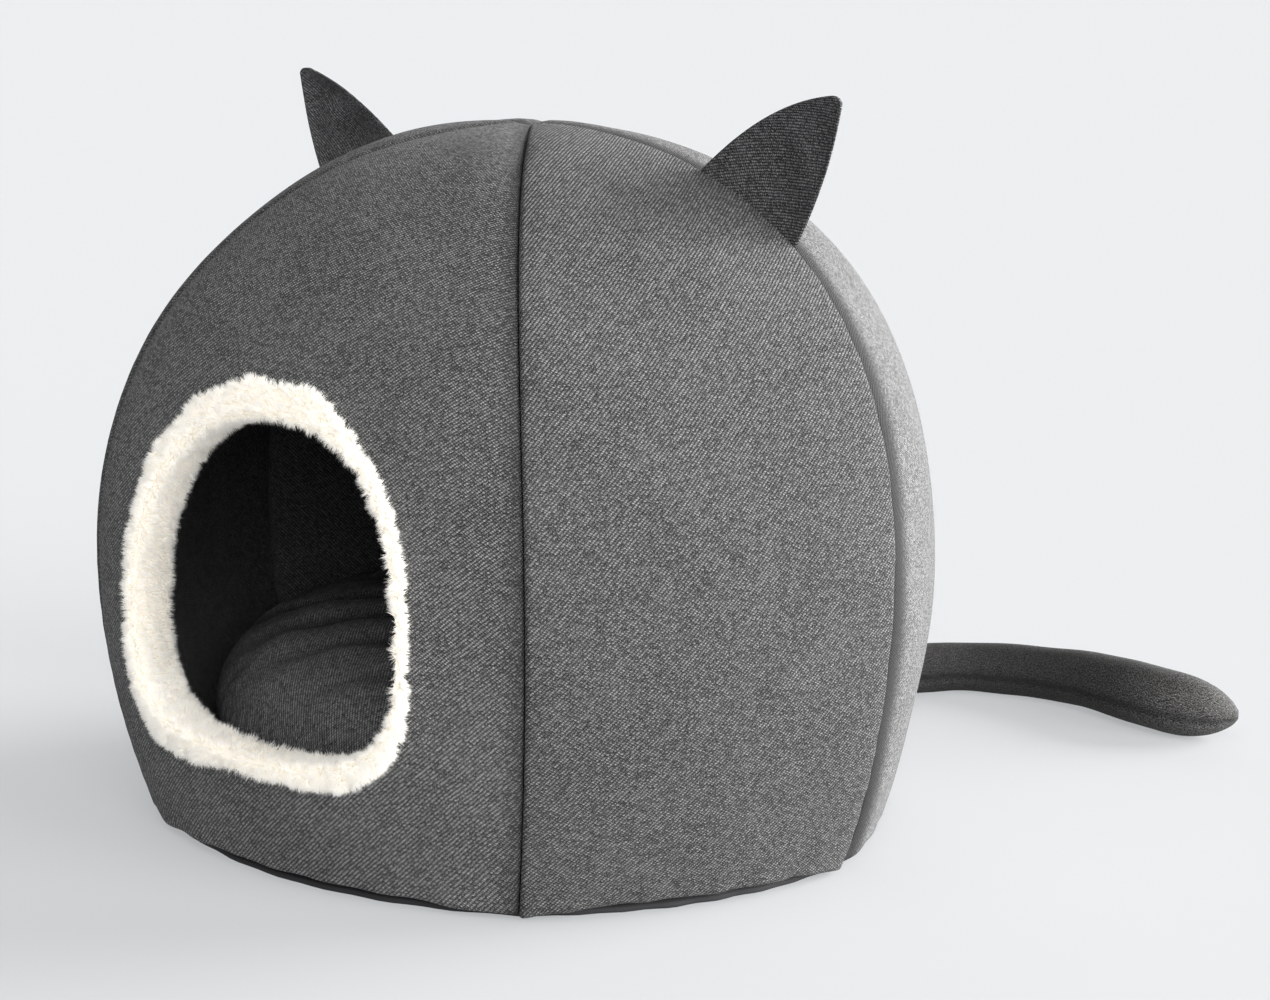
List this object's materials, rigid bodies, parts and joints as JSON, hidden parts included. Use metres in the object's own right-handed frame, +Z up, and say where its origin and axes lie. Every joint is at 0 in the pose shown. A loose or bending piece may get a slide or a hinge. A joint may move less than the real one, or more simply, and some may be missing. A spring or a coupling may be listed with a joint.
{
  "type": "cat-shaped pet bed",
  "caption": "Domed fabric pet bed with cat ears, a stuffed tail, a plush-trimmed arched entrance and a filled cushion inside.",
  "frame": {"origin": "on the floor under the middle of the dome, at the base cloth's underside", "axes": "+Z up, -Y out of the entrance, +X to the right ear, +Y to the tail"},
  "size_m": [0.406, 0.5346, 0.343],
  "materials": {
    "wall_twill": "dark grey melange twill over foam",
    "ear_twill": "dark grey melange twill",
    "tail_twill": "dark grey melange twill, stuffed",
    "cushion_twill": "dark grey melange twill, soft",
    "plush": "cream long-pile plush",
    "base_cloth": "thin black nonwoven"
  },
  "bodies": {
    "root": {"gore_front": "wall_twill", "gore_right_front": "wall_twill", "gore_right_back": "wall_twill", "gore_back": "wall_twill", "gore_left_back": "wall_twill", "gore_left_front": "wall_twill", "entrance_trim": "plush", "ear_right": "ear_twill", "ear_left": "ear_twill", "tail": "tail_twill", "base_sheet": "base_cloth", "cushion": "cushion_twill"}
  },
  "joints": []
}
